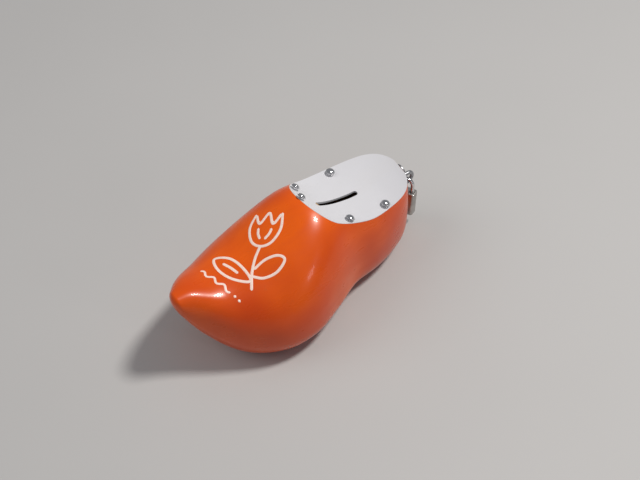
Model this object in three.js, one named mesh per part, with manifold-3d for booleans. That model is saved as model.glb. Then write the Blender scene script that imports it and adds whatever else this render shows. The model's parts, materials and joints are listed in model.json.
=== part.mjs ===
// A wooden clog made into a collecting box: a carved and hollowed clog, a bent sheet lid with a coin
// slot held down by dome-headed screws, and a padlock hanging from a staple behind the heel.
// Millimetres, +Z up, toe towards -Y, heel towards +Y. The origin is the middle of the bottom of it all.

import * as THREE from 'three';
import { ParametricGeometry } from 'three/addons/geometries/ParametricGeometry.js';
import { mergeVertices } from 'three/addons/utils/BufferGeometryUtils.js';
import Module from 'manifold-3d';

const wasm = await Module();
wasm.setup();

// Driving sizes

const clogLength = 262;
const clogWidth = 121;
const clogHeight = 113;

const gap = 0.3; // between pieces that rest on each other
const boreGap = 0.3; // around pieces that sit in a drilled hole
const overshoot = 1; // how far a cutter runs past the face it opens

// The clog's outside, from toe tip (0) to heel back (1). Widths are shares of clogWidth to each side
// of the ridge, heights are shares of clogHeight, and widest is the height of the fullest point.
const sections = [
  { at: 0.0, near: 0.05, far: 0.05, ridge: 0.075, top: 0.8, bottom: 0.69, widest: 0.745 },
  { at: 0.06, near: 0.16, far: 0.21, ridge: 0.06, top: 0.8, bottom: 0.38, widest: 0.52 },
  { at: 0.16, near: 0.365, far: 0.355, ridge: 0.04, top: 0.745, bottom: 0.07, widest: 0.33 },
  { at: 0.28, near: 0.55, far: 0.415, ridge: 0.01, top: 0.78, bottom: -0.015, widest: 0.285 },
  { at: 0.4, near: 0.585, far: 0.415, ridge: 0, top: 0.9, bottom: -0.015, widest: 0.28 },
  { at: 0.52, near: 0.505, far: 0.4, ridge: 0, top: 1, bottom: -0.005, widest: 0.28 },
  { at: 0.64, near: 0.405, far: 0.385, ridge: 0, top: 0.96, bottom: 0.025, widest: 0.285 },
  { at: 0.76, near: 0.37, far: 0.39, ridge: 0, top: 0.91, bottom: -0.015, widest: 0.305 },
  { at: 0.88, near: 0.32, far: 0.36, ridge: 0, top: 0.9, bottom: -0.015, widest: 0.32 },
  { at: 1.0, near: 0.3, far: 0.345, ridge: 0, top: 0.9, bottom: -0.015, widest: 0.33 },
];
const upperFullness = 2.3; // superellipse exponents of a section above and below its widest point
const lowerFullness = 2.7;
const toeNose = 0.015; // share of the length over which the toe tip and the heel close
const heelRound = 0.2;
const heelPlanFullness = 2.2;
const heelSideFullness = 5;
const carvedMesh = { slices: 44, stacks: 32 }; // facets round and along the clog, and the lid's edge
const hollowMesh = { slices: 24, stacks: 24 };

// The sawn rim that the lid lies on: its height along the ridge line as a share of clogHeight, and how
// far it leans down towards the near side, in mm per mm.
const rimLine = [
  { at: 0.4, height: 1.14, lean: 0 },
  { at: 0.5, height: 1.045, lean: 0 },
  { at: 0.6, height: 0.86, lean: 0.03 },
  { at: 0.72, height: 0.765, lean: 0.13 },
  { at: 0.86, height: 0.745, lean: 0.24 },
  { at: 1.0, height: 0.7, lean: 0.34 },
  { at: 1.12, height: 0.64, lean: 0.42 },
];

const hollow = {
  from: 0.2, // share of the length where the foot hollow begins
  heelWall: 14,
  sideWall: 11,
  roof: 13,
  sole: 16,
  nose: 0.3, // share of the length over which its front closes
};

const lid = {
  thickness: 2,
  overhang: 0.8, // past the clog's outside
  from: 0.46, // the band it is cut from, as shares of the length
  to: 1.06,
  bandSteps: 30,
};

const slot = {
  length: 48,
  width: 5,
  at: 0.68,
  aside: 5, // towards the near side
};

const screw = {
  headRadius: 4.25,
  headHeight: 2.5,
  shankRadius: 1.75,
  length: 14,
  pointLength: 3,
};

// Shares of the length and of the width, towards the near side
const lidScrews = [
  { name: 'lid_screw_front_near', at: 0.533, aside: 0.008 },
  { name: 'lid_screw_front_far', at: 0.56, aside: -0.14 },
  { name: 'lid_screw_middle_near', at: 0.652, aside: 0.256 },
  { name: 'lid_screw_middle_far', at: 0.744, aside: -0.211 },
  { name: 'lid_screw_rear_near', at: 0.82, aside: 0.244 },
];

const heelFlat = {
  depth: 2.5, // planed off the heel's back where the strap sits
  width: 18,
  belowStrap: 2,
};

const strap = {
  width: 14,
  height: 44,
  thickness: 2,
  belowRim: 22, // its middle below the rim
  screwSpacing: 32,
};

const staple = {
  rodRadius: 2,
  bend: 6, // radius of the bow's centre line
  reach: 10, // straight leg outside the strap
  buried: 9, // leg inside the strap and heel
};

const padlock = {
  wall: 2, // beside the shackle's legs
  thickness: 10,
  height: 28,
  corner: 2.5,
  chamfer: 0.8,
  standoff: 9.5, // from the strap's face to the padlock's middle
  hangGap: 1, // between the shackle and the staple where it hangs
  twist: 21, // degrees about the vertical
  rodRadius: 2,
  legX: 7,
  straight: 8, // leg outside the case, below the bow
  longLeg: 22, // legs inside the case
  shortLeg: 12,
  openTravel: 5, // how far the shackle lifts when it is unlocked
};

const retainer = {
  radius: 0.7,
  length: 7,
  z: -14,
  grooveRadius: 1.2, // what is left of the long leg beside it
  gap: 0.25,
};

const lockPlugSizes = {
  radius: 3.6,
  top: -10.5,
  bottom: -27.6,
  keywayWidth: 1.2,
  keywayTop: -15,
  keywayFrom: -2.6,
  keywayTo: 1.6,
  camRadius: 0.7,
  camX: 2.3,
  camTop: -7.8,
  grooveRadius: 2.8,
  grooveBottom: -13,
  grooveTop: -11.4,
  pinRadius: 0.6,
};

const latch = {
  width: 3,
  bottom: -9,
  top: -5.5,
  bite: 0.7, // how far its tip reaches into the short leg
  tailX: -1,
  pocketFrom: 0.7,
  pocketTo: 3.9,
  pocketTop: -7.5,
  springLength: 3,
};

const pins = {
  count: 4,
  first: -16.5,
  pitch: 2.5,
  radius: 0.9,
  keyPinLength: 2.1,
  driverLength: 2.3,
  fromShear: 0.25, // each pin's end from the shear line
  springLength: 3.4,
};

const springs = {
  leg: { length: 3.2, wire: 0.25, turns: 3, sideGap: 0.2 },
  latch: { radius: 1.2, wire: 0.15, turns: 2 },
  pin: { wire: 0.12, turns: 4 },
};

const slidingGap = 0.15; // around the plug and the pins
const latchLead = 1.8; // how far the shackle may lift before the latch is clear of its notch

const facets = {
  rod: 20,
  screw: 16,
  dome: 3, // steps from the head's edge to its top
  strapEnd: 10,
  slotEnd: 6,
  staple: { steps: 32, sides: 10 },
  shackle: { steps: 44, sides: 12 },
  plug: 24,
  pin: 12,
  coil: { stepsPerTurn: 8, sides: 4 },
};

// Materials

function finish(color, roughness, metalness) {
  return new THREE.MeshStandardMaterial({ color, roughness, metalness });
}

const orangePaint = finish(0xd75505, 0.25, 0);
const whiteSheet = finish(0xe9e9ea, 0.4, 0.2);
const chrome = finish(0xd6d6d6, 0.12, 1);
const zincSteel = finish(0x9c9c9a, 0.4, 1);
const lockSteel = finish(0x8d8b86, 0.35, 1);
const brass = finish(0xb08d45, 0.35, 1);
const springSteel = finish(0x777777, 0.4, 1);

// Solids: closed meshes that can be joined and cut

function toSolid(geometry) {
  const bare = geometry.clone();
  bare.deleteAttribute('normal');
  bare.deleteAttribute('uv');
  const merged = mergeVertices(bare, 1e-4);
  const corners = merged.index.array;
  const triangles = [];
  for (let i = 0; i < corners.length; i += 3) {
    const [a, b, c] = corners.slice(i, i + 3);
    if (a !== b && b !== c && c !== a) triangles.push(a, b, c);
  }
  const mesh = new wasm.Mesh({
    numProp: 3,
    vertProperties: new Float32Array(merged.attributes.position.array),
    triVerts: new Uint32Array(triangles),
  });
  return new wasm.Manifold(mesh);
}

function toGeometry(solid) {
  const mesh = solid.getMesh();
  const geometry = new THREE.BufferGeometry();
  geometry.setAttribute('position', new THREE.BufferAttribute(new Float32Array(mesh.vertProperties), 3));
  geometry.setIndex(new THREE.BufferAttribute(new Uint32Array(mesh.triVerts), 1));
  geometry.computeVertexNormals();
  return geometry;
}

function cut(solid, cutters) {
  return cutters.reduce((rest, cutter) => rest.subtract(cutter), solid);
}

function box(from, to) {
  const size = to.map((value, axis) => value - from[axis]);
  const geometry = new THREE.BoxGeometry(...size);
  geometry.translate(...from.map((value, axis) => value + size[axis] / 2));
  return geometry;
}

// A rod of round section between two points
function rod(radius, from, to, sides = facets.rod) {
  const start = new THREE.Vector3(...from);
  const run = new THREE.Vector3(...to).sub(start);
  const geometry = new THREE.CylinderGeometry(radius, radius, run.length(), sides);
  const turn = new THREE.Quaternion().setFromUnitVectors(new THREE.Vector3(0, 1, 0), run.clone().normalize());
  geometry.applyQuaternion(turn);
  geometry.translate(...start.addScaledVector(run, 0.5).toArray());
  return geometry;
}

// The carved shape

// A smooth curve through each column of a table of rows that are keyed by "at"
function smoothTable(rows, columns) {
  const values = rows.flatMap((row) => columns.map((column) => row[column]));
  const places = rows.map((row) => row.at);
  const curve = new THREE.CubicInterpolant(places, values, columns.length, new Float64Array(columns.length));
  return (at) => {
    const result = curve.evaluate(at);
    return Object.fromEntries(columns.map((column, i) => [column, result[i]]));
  };
}

const sectionAt = smoothTable(sections, ['near', 'far', 'ridge', 'top', 'bottom', 'widest']);
const rimAt = smoothTable(rimLine, ['height', 'lean']);

// Falls from 1 to 0 as share goes from 0 to 1, along a quarter of a superellipse
function roundEnd(share, fullness) {
  const almostClosed = 1 - 1e-9;
  return share > almostClosed ? 0 : (1 - Math.max(share, 0) ** fullness) ** (1 / fullness);
}

function powerOf(value, fullness) {
  return Math.sign(value) * Math.abs(value) ** (2 / fullness);
}

// A closed body that follows the clog's sections, taken in from the outside by side, roof and floor
function carvedBody({ from, to, nose, side, roof, floor }, { slices, stacks }) {
  const heelFrom = to - heelRound;
  const place = (along, around, target) => {
    const at = from + ((to - from) * (1 - Math.cos(Math.PI * along))) / 2;
    const section = sectionAt(at);
    const heelShare = (at - heelFrom) / heelRound;
    const noseShare = 1 - (at - from) / nose;
    const narrowing = roundEnd(heelShare, heelPlanFullness) * roundEnd(noseShare, 2);
    const lowering = roundEnd(heelShare, heelSideFullness) * roundEnd(noseShare, 2);
    const angle = 2 * Math.PI * around;
    const across = Math.cos(angle);
    const up = Math.sin(angle);
    const fullness = up > 0 ? upperFullness : lowerFullness;
    const halfWidth = (across > 0 ? section.near : section.far) * clogWidth - side;
    const middle = section.widest * clogHeight;
    const above = section.top * clogHeight - roof - middle;
    const below = middle - section.bottom * clogHeight - floor;
    const rise = up > 0 ? above : below;
    target.set(
      section.ridge * clogWidth + halfWidth * narrowing * powerOf(across, fullness),
      at * clogLength,
      middle + rise * lowering * powerOf(up, fullness),
    );
  };
  return new ParametricGeometry(place, slices, stacks);
}

function rimHeight(x, y) {
  const rim = rimAt(y / clogLength);
  return rim.height * clogHeight - rim.lean * x;
}

// Points along the rim's side view (y, z), moved out square to it by an offset
function rimEdge(offset, from, to) {
  return Array.from({ length: lid.bandSteps + 1 }, (_, i) => {
    const y = (from + ((to - from) * i) / lid.bandSteps) * clogLength;
    const slope = rimHeight(0, y + 0.5) - rimHeight(0, y - 0.5);
    const normal = new THREE.Vector2(-slope, 1).normalize();
    return new THREE.Vector2(y, rimHeight(0, y)).addScaledVector(normal, offset);
  });
}

// The sheet that the lid is cut from, right across the clog
function lidBand() {
  const lower = rimEdge(gap, lid.from, lid.to);
  const upper = rimEdge(gap + lid.thickness, lid.from, lid.to);
  return leaning(acrossClog(new THREE.Shape([...lower, ...upper.reverse()])));
}

// Everything above the rim
function aboveRim() {
  const further = 0.05;
  const edge = rimEdge(0, lid.from - further, lid.to + further);
  const high = 3 * clogHeight;
  const corners = [new THREE.Vector2(edge.at(-1).x, high), new THREE.Vector2(edge[0].x, high)];
  return leaning(acrossClog(new THREE.Shape([...edge, ...corners])));
}

// Extrudes a side view (y, z) along X, wider than the clog
function acrossClog(shape) {
  const width = 2 * clogWidth;
  const geometry = new THREE.ExtrudeGeometry(shape, { depth: width, steps: 6, bevelEnabled: false });
  geometry.translate(0, 0, -width / 2);
  const alongX = new THREE.Matrix4().makeBasis(
    new THREE.Vector3(0, 1, 0),
    new THREE.Vector3(0, 0, 1),
    new THREE.Vector3(1, 0, 0),
  );
  return geometry.applyMatrix4(alongX);
}

function leaning(geometry) {
  const position = geometry.attributes.position;
  for (let i = 0; i < position.count; i += 1) {
    const { lean } = rimAt(position.getY(i) / clogLength);
    position.setZ(i, position.getZ(i) - lean * position.getX(i));
  }
  return geometry;
}

// A place on top of the lid, with the turn that stands a screw square on it
function lidSpot({ at, aside }) {
  const x = aside * clogWidth;
  const y = at * clogLength;
  const step = 1;
  const slopeX = (rimHeight(x + step, y) - rimHeight(x - step, y)) / (2 * step);
  const slopeY = (rimHeight(x, y + step) - rimHeight(x, y - step)) / (2 * step);
  const normal = new THREE.Vector3(-slopeX, -slopeY, 1).normalize();
  const position = new THREE.Vector3(x, y, rimHeight(x, y));
  position.addScaledVector(normal, gap + lid.thickness);
  const quaternion = new THREE.Quaternion().setFromUnitVectors(new THREE.Vector3(0, 0, 1), normal);
  return new THREE.Matrix4().compose(position, quaternion, new THREE.Vector3(1, 1, 1));
}

// Dome-headed screws: the head's underside is at z = 0 and the shank runs down from it

function domeScrew() {
  const profile = [
    new THREE.Vector2(0, -screw.length),
    new THREE.Vector2(screw.shankRadius, -screw.length + screw.pointLength),
    new THREE.Vector2(screw.shankRadius, 0),
  ];
  for (let i = 0; i <= facets.dome; i += 1) {
    const rise = (i / facets.dome) * (Math.PI / 2);
    const x = i === facets.dome ? 0 : screw.headRadius * Math.cos(rise);
    profile.push(new THREE.Vector2(x, screw.headHeight * Math.sin(rise)));
  }
  return new THREE.LatheGeometry(profile, facets.screw).rotateX(Math.PI / 2);
}

function screwHole(matrix) {
  const radius = screw.shankRadius + boreGap;
  const hole = rod(radius, [0, 0, -screw.length - gap], [0, 0, overshoot], facets.screw);
  return toSolid(hole.applyMatrix4(matrix));
}

// Lifts a screw by the gap so that its head doesn't touch what it holds
function seated(matrix) {
  return matrix.clone().multiply(new THREE.Matrix4().makeTranslation(0, 0, gap));
}

const lidScrewPlaces = lidScrews.map((place) => ({ name: place.name, matrix: lidSpot(place) }));

// Staple strap on the flat behind the heel

const flatY = clogLength - heelFlat.depth;
const strapMiddle = rimHeight(0, flatY) - strap.belowRim;
const strapFace = flatY + gap + strap.thickness;
const strapOut = new THREE.Matrix4().makeRotationX(-Math.PI / 2); // turns +Z to +Y

const strapScrewPlaces = [
  { name: 'strap_screw_upper', z: strapMiddle + strap.screwSpacing / 2 },
  { name: 'strap_screw_lower', z: strapMiddle - strap.screwSpacing / 2 },
].map(({ name, z }) => ({
  name,
  matrix: new THREE.Matrix4().makeTranslation(0, strapFace, z).multiply(strapOut),
}));

function stapleLegHole(side) {
  const z = strapMiddle + side * staple.bend;
  const radius = staple.rodRadius + boreGap;
  const bottom = strapFace - staple.buried - gap;
  return toSolid(rod(radius, [0, bottom, z], [0, strapFace + overshoot, z], facets.screw));
}

const strapHoles = [
  ...strapScrewPlaces.map((place) => screwHole(place.matrix)),
  stapleLegHole(1),
  stapleLegHole(-1),
];

function strapPlate() {
  const half = strap.width / 2;
  const straight = strap.height / 2 - half;
  const outline = new THREE.Shape();
  outline.absarc(0, straight, half, 0, Math.PI);
  outline.absarc(0, -straight, half, Math.PI, 2 * Math.PI);
  const plate = new THREE.ExtrudeGeometry(outline, {
    depth: strap.thickness,
    bevelEnabled: false,
    curveSegments: facets.strapEnd,
  });
  plate.rotateX(Math.PI / 2).translate(0, strapFace, strapMiddle);
  return cut(toSolid(plate), strapHoles);
}

// A hairpin in the X-Z plane: up the leg at -radius, round the bow, down the leg at +radius.
// The bow's ends are at z = 0.
class Hairpin extends THREE.Curve {
  constructor(radius, firstLeg, secondLeg) {
    super();
    this.radius = radius;
    this.firstLeg = firstLeg;
    this.secondLeg = secondLeg;
  }

  getPoint(t, target = new THREE.Vector3()) {
    const bow = Math.PI * this.radius;
    const travelled = t * (this.firstLeg + bow + this.secondLeg);
    if (travelled < this.firstLeg) return target.set(-this.radius, 0, travelled - this.firstLeg);
    if (travelled > this.firstLeg + bow) return target.set(this.radius, 0, this.firstLeg + bow - travelled);
    const angle = Math.PI - (travelled - this.firstLeg) / this.radius;
    return target.set(this.radius * Math.cos(angle), 0, this.radius * Math.sin(angle));
  }
}

function bentRod(rodRadius, path, { steps, sides }) {
  const section = new THREE.Shape().absarc(0, 0, rodRadius, 0, 2 * Math.PI);
  return new THREE.ExtrudeGeometry(section, { steps, curveSegments: sides / 2, extrudePath: path });
}

function stapleBow() {
  const leg = staple.buried + staple.reach;
  const geometry = bentRod(staple.rodRadius, new Hairpin(staple.bend, leg, leg), facets.staple);
  const bowOutward = new THREE.Matrix4().makeBasis(
    new THREE.Vector3(0, 0, 1),
    new THREE.Vector3(1, 0, 0),
    new THREE.Vector3(0, 1, 0),
  );
  return geometry.applyMatrix4(bowOutward).translate(0, strapFace + staple.reach, strapMiddle);
}

// Clog and lid

const outside = { from: 0, to: 1, nose: toeNose, side: 0, roof: 0, floor: 0 };

function heelFlatCutter() {
  const half = heelFlat.width / 2;
  const bottom = strapMiddle - strap.height / 2 - heelFlat.belowStrap;
  return toSolid(box([-half, flatY, bottom], [half, 2 * clogLength, 2 * clogHeight]));
}

function clogBody() {
  const blank = toSolid(carvedBody(outside, carvedMesh));
  const footHollow = toSolid(carvedBody({
    from: hollow.from,
    to: 1 - hollow.heelWall / clogLength,
    nose: hollow.nose,
    side: hollow.sideWall,
    roof: hollow.roof,
    floor: hollow.sole,
  }, hollowMesh));
  const underground = box([-clogWidth, -clogLength, -clogHeight], [clogWidth, 2 * clogLength, 0]);
  const pilots = lidScrewPlaces.map((place) => screwHole(place.matrix));
  const planes = [toSolid(aboveRim()), toSolid(underground), heelFlatCutter()];
  return cut(blank, [footHollow, ...planes, ...pilots, ...strapHoles]);
}

function slotCutter() {
  const half = slot.length / 2 - slot.width / 2;
  const outline = new THREE.Shape();
  outline.absarc(0, half, slot.width / 2, 0, Math.PI);
  outline.absarc(0, -half, slot.width / 2, Math.PI, 2 * Math.PI);
  const geometry = new THREE.ExtrudeGeometry(outline, {
    depth: clogHeight,
    bevelEnabled: false,
    curveSegments: facets.slotEnd,
  });
  return toSolid(geometry.translate(slot.aside, slot.at * clogLength, clogHeight / 4));
}

function lidPlate() {
  const grow = -lid.overhang;
  const around = toSolid(carvedBody({ ...outside, side: grow, roof: grow, floor: grow }, carvedMesh));
  const strapClearance = toSolid(box(
    [-heelFlat.width / 2, flatY - gap, 0],
    [heelFlat.width / 2, 2 * clogLength, 2 * clogHeight],
  ));
  const holes = lidScrewPlaces.map((place) => screwHole(place.matrix));
  return cut(around.intersect(toSolid(lidBand())), [slotCutter(), strapClearance, ...holes]);
}

// Padlock: z = 0 is the top of its case, x runs from the long leg to the short leg

const caseWidth = 2 * (padlock.legX + padlock.rodRadius + padlock.wall);
const legHoleRadius = padlock.rodRadius + boreGap;
const legSpringTop = -padlock.longLeg - gap;
const legSpringBottom = legSpringTop - springs.leg.length;
const retainerX = -padlock.legX + retainer.grooveRadius + retainer.gap + retainer.radius;
const plugPinX = -(lockPlugSizes.grooveRadius + slidingGap + lockPlugSizes.pinRadius);
const plugPinZ = (lockPlugSizes.grooveTop + lockPlugSizes.grooveBottom) / 2;
const latchTip = padlock.legX - padlock.rodRadius + latch.bite;
const keyPinOuter = lockPlugSizes.radius - pins.fromShear;
const keyPinInner = keyPinOuter - pins.keyPinLength;
const driverInner = lockPlugSizes.radius + pins.fromShear;
const driverOuter = driverInner + pins.driverLength;
const pinSpringEnd = driverOuter + pins.springLength;

function roundedOutline(width, height, corner) {
  const x = width / 2 - corner;
  const y = height / 2 - corner;
  const outline = new THREE.Shape();
  outline.absarc(x, y, corner, 0, Math.PI / 2);
  outline.absarc(-x, y, corner, Math.PI / 2, Math.PI);
  outline.absarc(-x, -y, corner, Math.PI, 1.5 * Math.PI);
  outline.absarc(x, -y, corner, 1.5 * Math.PI, 2 * Math.PI);
  return outline;
}

function caseBlock() {
  const { thickness, height, corner, chamfer } = padlock;
  const outline = roundedOutline(caseWidth - 2 * chamfer, thickness - 2 * chamfer, corner - chamfer);
  const block = new THREE.ExtrudeGeometry(outline, {
    depth: height - 2 * chamfer,
    bevelSize: chamfer,
    bevelThickness: chamfer,
    bevelSegments: 2,
    curveSegments: 4,
  });
  return toSolid(block.translate(0, 0, chamfer - height));
}

const pinHeights = Array.from({ length: pins.count }, (_, i) => pins.first - i * pins.pitch);

// A pin pressed through the case from side to side
function crossPin(radius, x, z, length) {
  return rod(radius, [x, -length / 2, z], [x, length / 2, z], facets.pin);
}

function padlockCase() {
  const plug = lockPlugSizes;
  const half = latch.width / 2 + gap;
  const legBottom = -padlock.shortLeg - overshoot;
  const cutters = [
    rod(legHoleRadius, [-padlock.legX, 0, overshoot], [-padlock.legX, 0, legSpringBottom - gap]),
    rod(legHoleRadius, [padlock.legX, 0, overshoot], [padlock.legX, 0, legBottom]),
    rod(
      plug.radius + slidingGap,
      [0, 0, plug.camTop + gap],
      [0, 0, -padlock.height - overshoot],
      facets.plug,
    ),
    box(
      [latch.tailX - latch.springLength - gap, -half, latch.bottom - gap],
      [padlock.legX, half, latch.top + gap],
    ),
    crossPin(retainer.radius + slidingGap, retainerX, retainer.z, retainer.length + gap),
    crossPin(plug.pinRadius + slidingGap, plugPinX, plugPinZ, retainer.length + gap),
    ...pinHeights.map((z) => rod(
      pins.radius + slidingGap,
      [plug.radius - overshoot, 0, z],
      [pinSpringEnd + gap, 0, z],
      facets.pin,
    )),
  ];
  return cut(caseBlock(), cutters.map(toSolid));
}

function ringCutter(inner, outer, from, to, x) {
  const profile = [
    new THREE.Vector2(inner, from),
    new THREE.Vector2(outer, from),
    new THREE.Vector2(outer, to),
    new THREE.Vector2(inner, to),
    new THREE.Vector2(inner, from),
  ];
  const ring = new THREE.LatheGeometry(profile, facets.rod).rotateX(Math.PI / 2);
  return toSolid(ring.translate(x, 0, 0));
}

function shackle() {
  const path = new Hairpin(
    padlock.legX,
    padlock.straight + padlock.longLeg,
    padlock.straight + padlock.shortLeg,
  );
  const bow = bentRod(padlock.rodRadius, path, facets.shackle).translate(0, 0, padlock.straight);
  const grooveTop = retainer.z + retainer.radius + 2 * gap;
  const grooveBottom = retainer.z - retainer.radius - padlock.openTravel - 2 * gap;
  const outer = 2 * padlock.rodRadius;
  const groove = ringCutter(retainer.grooveRadius, outer, grooveBottom, grooveTop, -padlock.legX);
  const notch = box(
    [0, -padlock.thickness, latch.bottom - latchLead - gap],
    [latchTip + 2 * gap, padlock.thickness, latch.top + 2 * gap],
  );
  return cut(toSolid(bow), [groove, toSolid(notch)]);
}

function lockPlug() {
  const plug = lockPlugSizes;
  const camBottom = plug.top - overshoot;
  const barrel = rod(plug.radius, [0, 0, plug.bottom], [0, 0, plug.top], facets.plug);
  const cam = rod(plug.camRadius, [plug.camX, 0, camBottom], [plug.camX, 0, plug.camTop], facets.pin);
  const keyway = box(
    [plug.keywayFrom, -plug.keywayWidth / 2, plug.bottom - overshoot],
    [plug.keywayTo, plug.keywayWidth / 2, plug.keywayTop],
  );
  const chambers = pinHeights.map((z) => rod(
    pins.radius + slidingGap,
    [keyPinInner - gap, 0, z],
    [plug.radius + overshoot, 0, z],
    facets.pin,
  ));
  const groove = ringCutter(plug.grooveRadius, 2 * plug.radius, plug.grooveBottom, plug.grooveTop, 0);
  const barrelAndCam = toSolid(barrel).add(toSolid(cam));
  return cut(barrelAndCam, [groove, ...[keyway, ...chambers].map(toSolid)]);
}

function latchBolt() {
  const half = latch.width / 2;
  const block = toSolid(box([latch.tailX, -half, latch.bottom], [latchTip, half, latch.top]));
  const pocket = box(
    [latch.pocketFrom, -latch.width, latch.bottom - overshoot],
    [latch.pocketTo, latch.width, latch.pocketTop],
  );
  return cut(block, [toSolid(pocket)]);
}

// A coil spring along +X from x = 0
class Coil extends THREE.Curve {
  constructor(radius, length, turns) {
    super();
    this.radius = radius;
    this.length = length;
    this.turns = turns;
  }

  getPoint(t, target = new THREE.Vector3()) {
    const angle = 2 * Math.PI * this.turns * t;
    return target.set(this.length * t, this.radius * Math.cos(angle), this.radius * Math.sin(angle));
  }
}

function coilSpring(radius, length, { wire, turns }) {
  const steps = turns * facets.coil.stepsPerTurn;
  const path = new Coil(radius - wire, length - 4 * wire, turns);
  const geometry = bentRod(wire, path, { steps, sides: facets.coil.sides });
  return geometry.translate(2 * wire, 0, 0);
}

// Assembly

const clog = new THREE.Group();
const lock = new THREE.Group();
const bowTop = padlock.straight + padlock.legX;
lock.position.set(
  0,
  strapFace + padlock.standoff,
  strapMiddle - (staple.bend - staple.rodRadius) + padlock.rodRadius + padlock.hangGap - bowTop,
);
lock.rotation.z = THREE.MathUtils.degToRad(padlock.twist);
clog.add(lock);

function addMesh(parent, name, shape, material) {
  const geometry = shape.isBufferGeometry ? shape : toGeometry(shape);
  const mesh = new THREE.Mesh(geometry, material.clone());
  mesh.name = name;
  parent.add(mesh);
}

addMesh(clog, 'clog_body', clogBody(), orangePaint);
addMesh(clog, 'lid_plate', lidPlate(), whiteSheet);
for (const { name, matrix } of [...lidScrewPlaces, ...strapScrewPlaces]) {
  addMesh(clog, name, domeScrew().applyMatrix4(seated(matrix)), chrome);
}
addMesh(clog, 'staple_strap', strapPlate(), zincSteel);
addMesh(clog, 'staple_bow', stapleBow(), zincSteel);

addMesh(lock, 'padlock_case', padlockCase(), lockSteel);
addMesh(lock, 'padlock_shackle', shackle(), chrome);
addMesh(lock, 'padlock_plug', lockPlug(), brass);
addMesh(lock, 'padlock_latch', latchBolt(), brass);
addMesh(
  lock,
  'shackle_retaining_pin',
  crossPin(retainer.radius, retainerX, retainer.z, retainer.length),
  springSteel,
);
addMesh(
  lock,
  'plug_retaining_pin',
  crossPin(lockPlugSizes.pinRadius, plugPinX, plugPinZ, retainer.length),
  springSteel,
);

const legCoil = coilSpring(padlock.rodRadius - springs.leg.sideGap, springs.leg.length, springs.leg);
legCoil.rotateY(-Math.PI / 2).translate(-padlock.legX, 0, legSpringBottom);
addMesh(lock, 'shackle_spring', legCoil, springSteel);

const latchCoil = coilSpring(springs.latch.radius, latch.springLength - gap, springs.latch);
latchCoil.translate(latch.tailX - latch.springLength, 0, (latch.top + latch.bottom) / 2);
addMesh(lock, 'latch_spring', latchCoil, springSteel);

pinHeights.forEach((z, i) => {
  const number = i + 1;
  const keyPin = rod(pins.radius, [keyPinInner, 0, z], [keyPinOuter, 0, z], facets.pin);
  const driverPin = rod(pins.radius, [driverInner, 0, z], [driverOuter, 0, z], facets.pin);
  const spring = coilSpring(pins.radius, pins.springLength - gap, springs.pin);
  addMesh(lock, `key_pin_${number}`, keyPin, brass);
  addMesh(lock, `driver_pin_${number}`, driverPin, brass);
  addMesh(lock, `pin_spring_${number}`, spring.translate(driverOuter + gap, 0, z), springSteel);
});

// The frame's origin is the middle of the bottom of everything
const everything = new THREE.Group();
everything.add(clog);
const bounds = new THREE.Box3().setFromObject(everything, true);
const middle = bounds.getCenter(new THREE.Vector3());
clog.position.set(-middle.x, -middle.y, -bounds.min.z);

export default everything;
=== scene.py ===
import json
import math

import bmesh
import bpy
from mathutils import Matrix, Vector
from mathutils.bvhtree import BVHTree

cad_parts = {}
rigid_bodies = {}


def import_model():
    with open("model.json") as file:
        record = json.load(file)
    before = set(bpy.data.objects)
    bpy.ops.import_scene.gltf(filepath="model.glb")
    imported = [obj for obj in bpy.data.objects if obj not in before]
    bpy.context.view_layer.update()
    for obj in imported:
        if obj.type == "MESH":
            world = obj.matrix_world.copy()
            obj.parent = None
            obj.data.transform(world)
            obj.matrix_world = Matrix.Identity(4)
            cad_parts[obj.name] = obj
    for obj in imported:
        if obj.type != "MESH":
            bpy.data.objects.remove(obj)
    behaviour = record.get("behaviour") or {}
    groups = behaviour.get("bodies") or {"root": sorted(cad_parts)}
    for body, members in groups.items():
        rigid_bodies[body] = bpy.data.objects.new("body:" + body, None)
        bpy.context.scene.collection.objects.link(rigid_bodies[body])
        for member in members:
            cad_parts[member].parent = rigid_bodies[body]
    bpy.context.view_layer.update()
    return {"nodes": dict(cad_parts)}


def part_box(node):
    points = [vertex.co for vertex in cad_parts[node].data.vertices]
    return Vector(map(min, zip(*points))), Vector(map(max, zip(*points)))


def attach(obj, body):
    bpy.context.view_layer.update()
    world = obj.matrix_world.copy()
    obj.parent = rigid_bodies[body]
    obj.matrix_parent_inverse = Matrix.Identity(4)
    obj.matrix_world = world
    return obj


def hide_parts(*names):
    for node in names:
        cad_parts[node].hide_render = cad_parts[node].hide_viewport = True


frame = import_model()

mm = 0.001

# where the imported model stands
bodyLow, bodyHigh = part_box("clog_body")
strapLow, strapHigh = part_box("staple_strap")
caseLow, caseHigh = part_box("padlock_case")
ridgeX = (strapLow.x + strapHigh.x) / 2
toeY = bodyLow.y
strapMiddle = (strapLow.z + strapHigh.z) / 2


def place(x, y, z):
    return Vector((ridgeX + x * mm, toeY + y * mm, z * mm))


print("stage: shader tools")


class Wire:
    # an output socket, with the operators that the materials use
    def __init__(self, shader, socket):
        self.shader = shader
        self.socket = socket

    def __add__(self, other):
        return self.shader.number("ADD", self, other)

    def __mul__(self, other):
        return self.shader.number("MULTIPLY", self, other)

    def __sub__(self, other):
        return self.shader.number("SUBTRACT", self, other)

    def __rsub__(self, other):
        return self.shader.number("SUBTRACT", other, self)

    __radd__ = __add__
    __rmul__ = __mul__


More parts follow.
